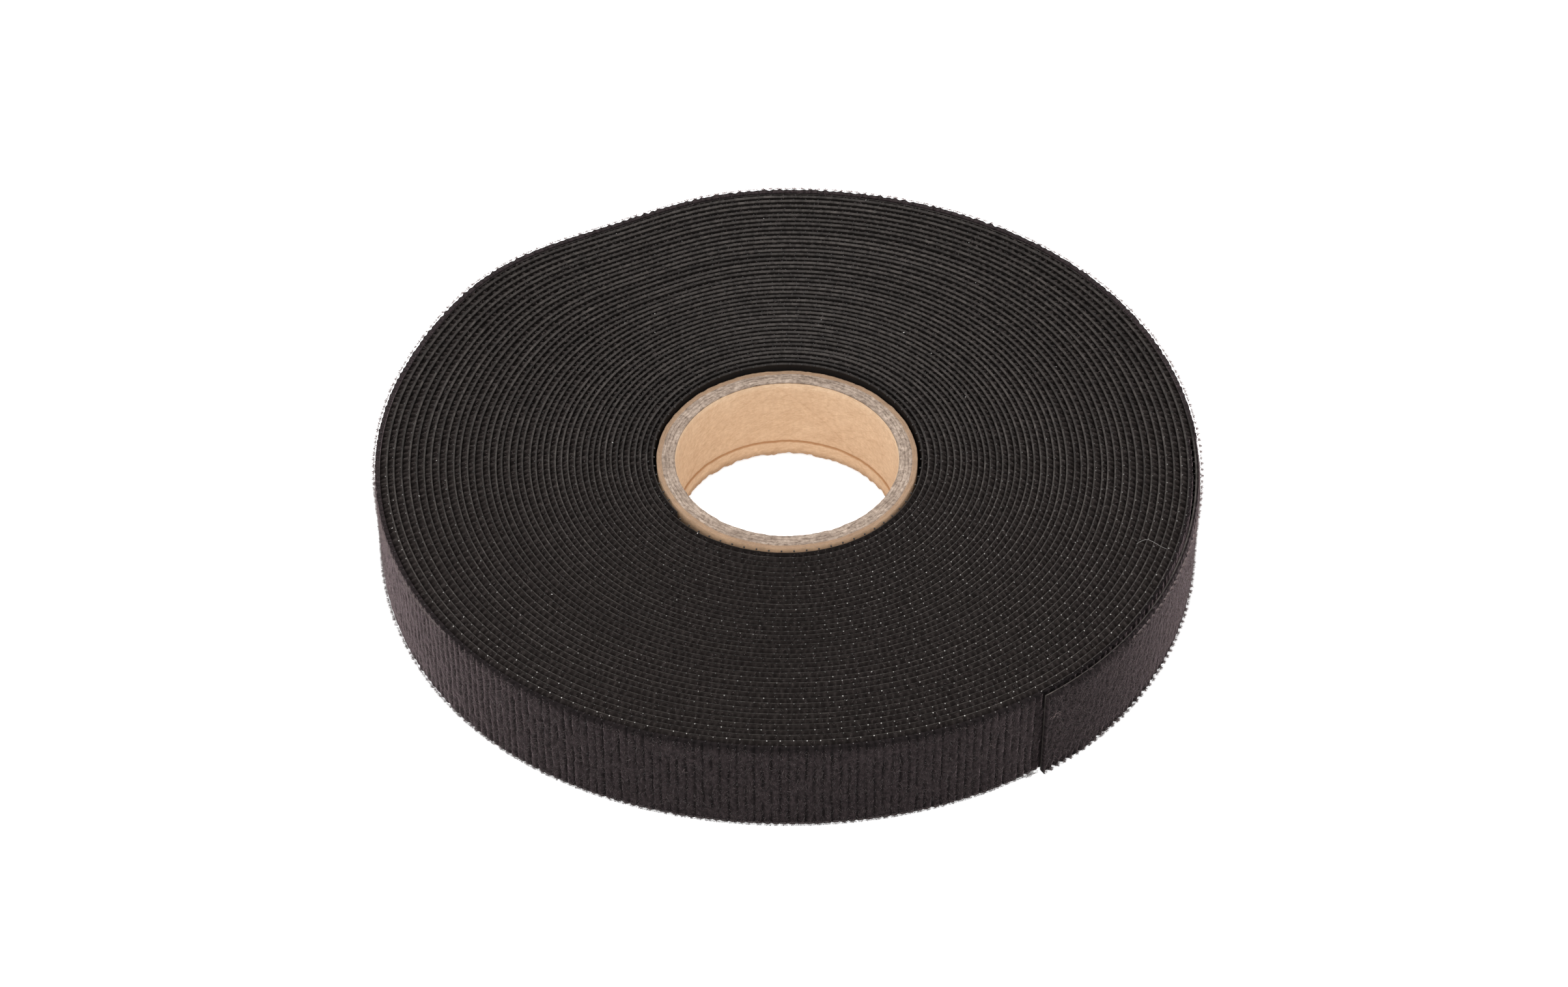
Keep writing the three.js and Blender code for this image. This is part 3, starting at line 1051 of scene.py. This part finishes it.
class TAPE_OT_hooks(bpy.types.Operator):
    """Set the cut hooks along the upper and lower edges of the turns"""

    bl_idname = "tape_roll.hooks"
    bl_label = "Hook Tips"

    SEED = 11
    # How much painted glint the hook tips on each turn carry.
    DULL_SHINES = (0.0, 0.05, 0.1, 0.3)
    BRIGHT_TURNS = {0: 0.3, 1: 0.05, 2: 1.0, 4: 0.7, 10: 0.6}
    RIGHT_FRONT = Vector((0.8, -0.6, 0))

    def execute(self, context):
        path = TapePath()
        tape = path.tape
        draw = random.Random(self.SEED)
        start = path.length(path.tail_span + path.tail_step)
        end = path.length(path.last)
        count = int((end - start) / tape.hook_row)
        shine = [draw.choice(self.DULL_SHINES) for turn in range(tape.turns + 2)]
        for turn, bright in self.BRIGHT_TURNS.items():
            shine[turn] = bright

        def put(number):
            upper = number % 2 == 0
            along = start + (number // 2 + 0.5) * tape.hook_row
            inward = path.inward(along)
            turn = int(inward / FULL_TURN + 0.35)
            height = tape.width - draw.uniform(0.0, 0.08) * MM if upper else 0.12 * MM
            wide = draw.uniform(0.17, 0.25) * MM
            offset = tape.loop_web * draw.uniform(0.1, 0.5)
            out = path.out(inward)
            # Painted glint: the tips are lit towards the front, most at the right front, and more on some
            # turns.
            near = bounded(0.3 - out.y)
            right = bounded(2 * out.dot(self.RIGHT_FRONT) - 1)
            tone = near * bounded(shine[turn] + 0.45 * right) * draw.choice((0.1, 0.5, 0.8, 1.0))
            if turn >= tape.turns - 1:
                offset = -tape.hook_web - 0.12 * MM
                wide = 0.34 * MM
                tone = 0
            root = path.place(inward, offset, height)
            matrix = Matrix.Translation(root) @ Matrix.Diagonal((wide, wide, wide * 0.8, 1))
            return matrix, (along / MM, height / MM, tone)

        bm = new_bmesh()
        scatter(bm, 2 * count, bead_template, put)
        finish_mesh("hook_tips", bm, [finish("hook")], "hook_web", ROLL)
        return {"FINISHED"}


class TAPE_OT_yarns(bpy.types.Operator):
    """Lay loose yarn ends on the roll's two sides and lint on the upper one"""

    bl_idname = "tape_roll.yarns"
    bl_label = "Yarn Ends and Lint"

    YARNS = 9000
    SPECKS = 34
    SEED = 5

    def execute(self, context):
        path = TapePath()
        tape = path.tape
        draw = random.Random(self.SEED)
        start = path.length(path.tail_span + path.tail_step)
        end = path.length(path.last)

        def put_yarn(number):
            along = draw.uniform(start, end)
            inward = path.inward(along)
            upper = draw.random() < 0.75
            height = tape.width - draw.uniform(0.06, 0.2) * MM if upper else 0.12 * MM
            root = path.place(inward, draw.uniform(0.05, 0.6) * MM, height)
            out, side = path.out_and_side(inward)
            rise = draw.uniform(0.0, 0.35) if upper else 0.0
            direction = out * draw.gauss(0, 1) + side * draw.gauss(0, 0.7) + Vector((0, 0, rise))
            long = draw.uniform(0.25, 0.75) * MM
            thick = draw.uniform(0.025, 0.05) * MM
            tone = draw.uniform(0.02, 0.4)
            return fibre_matrix(root, direction.normalized(), long, thick), (along / MM, height / MM, tone)

        bm = new_bmesh()
        scatter(bm, self.YARNS, fibre_template, put_yarn)
        finish_mesh("edge_yarns", bm, [finish("fibre")], "loop_web", ROLL)

        def put_speck(number):
            along = draw.uniform(start, end)
            inward = path.inward(along)
            root = path.place(inward, draw.uniform(-0.2, 0.4) * MM, tape.width - 0.01 * MM)
            turn = Matrix.Rotation(draw.uniform(0, FULL_TURN), 4, "Z")
            long = draw.uniform(0.12, 0.36) * MM
            wide = draw.uniform(0.08, 0.14) * MM
            matrix = Matrix.Translation(root) @ turn @ Matrix.Diagonal((long, wide, wide, 1))
            return matrix, (along / MM, tape.width / MM, draw.uniform(0.5, 1.0))

        bm = new_bmesh()
        scatter(bm, self.SPECKS, bead_template, put_speck)
        finish_mesh("lint_specks", bm, [finish("lint")], "loop_web", ROLL)
        return {"FINISHED"}


class TAPE_OT_outside(bpy.types.Operator):
    """Raise the brushed ribs round the outside of the roll, and on under the free end"""

    bl_idname = "tape_roll.outside"
    bl_label = "Outside Pile"

    TOOTH = 0.34 * MM
    SPREAD = 0.3 * MM
    SEED = 21

    def execute(self, context):
        path = TapePath()
        start = path.length(path.tail_span + 0.5 * path.tail_step)
        end = path.length(path.tail_span + FULL_TURN)
        ribs = pile_shape(path, 1.0, 0.9, self.TOOTH)
        bm = wind_strip(path, start, end, path.tape.rib / STEPS_PER_RIB, PILE_CORNERS, ribs)
        finish_mesh("outside_pile", bm, [finish("pile")], "loop_web", ROLL)
        free = path.length(FULL_TURN) - 1 * MM
        half = 0.5 * (start + free)
        for name, first, last in (("outside_fuzz_1", start, half), ("outside_fuzz_2", half, free)):
            bm = new_bmesh()
            add_pile_fibres(path, bm, first, last, self.SPREAD, self.SEED)
            finish_mesh(name, bm, [finish("fibre")], "loop_web", ROLL)
        return {"FINISHED"}


class TAPE_OT_tail(bpy.types.Operator):
    """Make the free end in lengths"""

    bl_idname = "tape_roll.tail"
    bl_label = "Free End"

    FILM_STEP = 0.5 * MM
    RAGGED = 0.03 * MM
    TOOTH = 0.62 * MM
    SPREAD = 0.14 * MM
    FIBRE_SEED = 40
    HOOK_SEED = 60
    HOOK_PITCH = 1.3 * MM
    HOOK_LENGTH = 0.26 * MM
    HOOK_WIDTH = 0.2 * MM
    HOOK_LAY = 8
    SCUFFS = 14
    SCUFF_SEED = 9

    def hooks(self, path, bm, start, end, seed):
        """Rows of hooks on the side that faces the roll."""
        tape = path.tape
        draw = random.Random(seed)
        rows = int(tape.width / self.HOOK_PITCH)
        columns = max(1, round((end - start) / self.HOOK_PITCH))

        def put(number):
            column, row = divmod(number, rows)
            along = start + (column + 0.5) * (end - start) / columns
            inward = path.inward(along)
            height = (row + 0.5 + 0.25 * (column % 2)) * tape.width / (rows + 0.3)
            root = path.place(inward, -tape.hook_web, height)
            matrix = fibre_matrix(root, path.out(inward) * -1, self.HOOK_LENGTH, self.HOOK_WIDTH)
            return matrix, (along / MM, self.HOOK_LAY, draw.uniform(0.1, 0.3))

        scatter(bm, rows * columns, fibre_template, put)

    def scuff(self, path, bm):
        """A few pale broken fibres beside the cut."""
        draw = random.Random(self.SCUFF_SEED)

        def put(number):
            along = draw.uniform(0.3, 2.0) * MM
            height = path.tape.width - draw.uniform(3.9, 4.7) * MM
            inward = path.inward(along)
            out, side = path.out_and_side(inward)
            direction = side * draw.choice((-1, 1)) + out * 0.2 + Vector((0, 0, draw.gauss(0, 0.5)))
            root = path.place(inward, path.tape.loop_web + 0.6 * MM, height)
            facts = (along / MM, height / MM, draw.uniform(0.6, 1.0))
            long = draw.uniform(0.3, 0.7) * MM
            return fibre_matrix(root, direction.normalized(), long, 0.05 * MM), facts

        scatter(bm, self.SCUFFS, fibre_template, put)

    def execute(self, context):
        path = TapePath()
        tape = path.tape
        bodies = [ROLL] + TAIL_BODIES
        for number in range(1, len(bodies)):
            outer_angle = path.tail_span - (number - 0.5) * path.tail_step
            inner_angle = outer_angle + path.tail_step
            last = number == len(TAIL_BODIES)
            start = path.length(0 if last else outer_angle)
            end = path.length(inner_angle)
            near = path.place(inner_angle, tape.loop_web, tape.width / 2)
            far = path.place(outer_angle, tape.loop_web, tape.width / 2)

            shape = film_shape(path, self.RAGGED, 1.3)
            bm = wind_strip(path, start, end, self.FILM_STEP, FILM_CORNERS, shape)
            solid = len(bm.faces)
            self.hooks(path, bm, start, end, self.HOOK_SEED + number)
            mark_faces(bm, solid, 1)
            looks = [finish("film"), finish("hook")]
            node = "tail_%d_hook_web" % number
            film = finish_mesh("tail_film_%d" % number, bm, looks, "hook_web", node=node, smooth=False)
            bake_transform(film)

            shape = pile_shape(path, 0.1, 0.8, self.TOOTH)
            bm = wind_strip(path, start, end, tape.rib / STEPS_PER_RIB, PILE_CORNERS, shape)
            solid = len(bm.faces)
            add_pile_fibres(path, bm, start, end, self.SPREAD, self.FIBRE_SEED + number)
            if last:
                self.scuff(path, bm)
            mark_faces(bm, solid, 1)
            looks = [finish("felt"), finish("fibre")]
            node = "tail_%d_loop_web" % number
            pile = finish_mesh("tail_pile_%d" % number, bm, looks, "loop_web", node=node)
            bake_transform(pile)
        return {"FINISHED"}


class TAPE_OT_hairs(bpy.types.Operator):
    """Lay a loose hair on the roll, and pull a tuft of loops out of its foot at the cut end"""

    bl_idname = "tape_roll.hairs"
    bl_label = "Loose Hairs"

    TUFT = 9
    KNOTS = 6
    SEED = 77
    THICKNESS = 0.022 * MM
    HAIR_MM = ((50.9, -19.6), (52.1, -18.5), (53.0, -18.8), (54.0, -19.8), (54.9, -20.5), (55.2, -20.6))

    def strand(self, curve, points):
        """One smooth hair through these points."""
        spline = curve.splines.new("NURBS")
        spline.points.add(len(points) - 1)
        for knot, point in zip(spline.points, points):
            knot.co = (*point, 1)
        spline.use_endpoint_u = True
        spline.order_u = 4

    def execute(self, context):
        path = TapePath()
        draw = random.Random(self.SEED)
        curve = bpy.data.curves.new("loose_hairs", "CURVE")
        curve.dimensions = "3D"
        curve.bevel_depth = self.THICKNESS
        curve.bevel_resolution = 1
        curve.resolution_u = 4
        top = path.tape.width + 0.03 * MM
        self.strand(curve, [(x * MM, y * MM, top) for x, y in self.HAIR_MM])
        for number in range(self.TUFT):
            along = draw.uniform(0.6, 2.4) * MM
            inward = -along / path.bond
            points = []
            for knot in range(self.KNOTS):
                swing = 0.5 * MM * math.sin(knot * 1.3 + number)
                arch = math.sin(math.pi * knot / (self.KNOTS - 1))
                lift = (0.15 + 0.5 * arch * draw.uniform(0.6, 1.4)) * MM
                height = (0.12 + 0.1 * knot * draw.uniform(0.3, 1.2)) * MM
                points.append(path.place(inward - swing / path.bond, lift - 0.5 * path.pitch, height))
            self.strand(curve, points)
        piece = bpy.data.objects.new("loose_hairs", curve)
        curve.materials.append(finish("hair"))
        bpy.context.scene.collection.objects.link(piece)
        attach(piece, ROLL)
        return {"FINISHED"}


class TAPE_OT_stage(bpy.types.Operator):
    """Set the floor, the light and the camera of the photograph"""

    bl_idname = "tape_roll.stage"
    bl_label = "Stage"

    LAMPS = (
        ("key", (-0.08, -0.5, 0.75), 0.8, 4.5),
        ("back", (0.0, 0.7, 0.6), 0.8, 4.5),
        ("left", (-0.75, 0.05, 0.3), 0.6, 1.9),
        ("right", (0.75, 0.05, 0.3), 0.6, 1.3),
    )
    WORLD_LIGHT = 0.66
    FLOOR_REACH = 3.0
    FLOOR_GLOW = 0.6
    FRAME_WIDTH = 36

    def lamp(self, name, place, size, power):
        """A soft square light that points at the roll."""
        data = bpy.data.lights.new(name, "AREA")
        data.size = size
        data.energy = power
        light = bpy.data.objects.new(name, data)
        light.location = place
        light.rotation_euler = (-Vector(place)).to_track_quat("-Z", "Y").to_euler()
        bpy.context.scene.collection.objects.link(light)

    def floor(self):
        """A wide flat floor, white to the camera, with the roll's shadow."""
        bm = bmesh.new()
        bmesh.ops.create_grid(bm, x_segments=2, y_segments=2, size=self.FLOOR_REACH)
        made = Finish("floor")
        rays = made.node("ShaderNodeLightPath")
        seen = rays.socket.node.outputs
        looked_at = Value(made, seen["Is Camera Ray"]) + Value(made, seen["Is Glossy Ray"])
        looked_at = looked_at + Value(made, seen["Is Transmission Ray"])
        made.set(
            Base_Color=settings().finish.floor,
            Roughness=0.9,
            Emission_Color=made.mix(looked_at * self.FLOOR_GLOW, (0, 0, 0), (1, 1, 1)),
            Emission_Strength=1.0,
        )
        piece = finish_mesh("floor", bm, [made.material])

    def execute(self, context):
        scene = bpy.context.scene
        scene.view_settings.view_transform = "Standard"
        self.floor()
        world = bpy.data.worlds.new("studio")
        world.use_nodes = True
        background = world.node_tree.nodes["Background"]
        background.inputs["Color"].default_value = (1, 1, 1, 1)
        background.inputs["Strength"].default_value = self.WORLD_LIGHT
        scene.world = world
        for facts in self.LAMPS:
            self.lamp(*facts)
        sizes = settings().camera
        centre = TapePath().axis + Vector((0, 0, settings().tape.width - settings().core.recess))
        data = bpy.data.cameras.new("photograph")
        data.sensor_width = self.FRAME_WIDTH
        data.sensor_fit = "HORIZONTAL"
        data.lens = sizes.lens
        data.clip_start = 0.01
        camera = bpy.data.objects.new("photograph", data)
        reach = sizes.distance
        camera.location = centre + Vector(
            (0, -reach * math.cos(sizes.elevation), reach * math.sin(sizes.elevation))
        )
        aim = centre + Vector((sizes.aim_x, sizes.aim_y, 0)) - camera.location
        camera.rotation_euler = aim.to_track_quat("-Z", "Y").to_euler()
        scene.collection.objects.link(camera)
        scene.camera = camera
        return {"FINISHED"}


OPERATORS = (
    TAPE_OT_stage,
    TAPE_OT_core,
    TAPE_OT_film,
    TAPE_OT_turns,
    TAPE_OT_hooks,
    TAPE_OT_yarns,
    TAPE_OT_outside,
    TAPE_OT_tail,
    TAPE_OT_hairs,
)


class TAPE_PT_roll(bpy.types.Panel):
    """Buttons for each part of the roll"""

    bl_idname = "TAPE_PT_roll"
    bl_label = "Tape Roll"
    bl_space_type = "VIEW_3D"
    bl_region_type = "UI"
    bl_category = "Tape Roll"

    def draw(self, context):
        for operator in OPERATORS:
            self.layout.operator(operator.bl_idname)


CLASSES = (CoreSizes, TapeSizes, Finishes, CameraSizes, TapeRollSettings, *OPERATORS, TAPE_PT_roll)


def register():
    """Adds the classes and the scene's values."""
    for each in CLASSES:
        bpy.utils.register_class(each)
    bpy.types.Scene.tape_roll = PointerProperty(type=TapeRollSettings)


def unregister():
    """Takes them away again."""
    del bpy.types.Scene.tape_roll
    for each in reversed(CLASSES):
        bpy.utils.unregister_class(each)


def main():
    """Builds the roll."""
    register()
    bpy.ops.tape_roll.stage()
    bpy.ops.tape_roll.core()
    bpy.ops.tape_roll.film()
    bpy.ops.tape_roll.turns()
    bpy.ops.tape_roll.hooks()
    bpy.ops.tape_roll.yarns()
    bpy.ops.tape_roll.outside()
    bpy.ops.tape_roll.tail()
    bpy.ops.tape_roll.hairs()


if __name__ == "__main__":
    main()
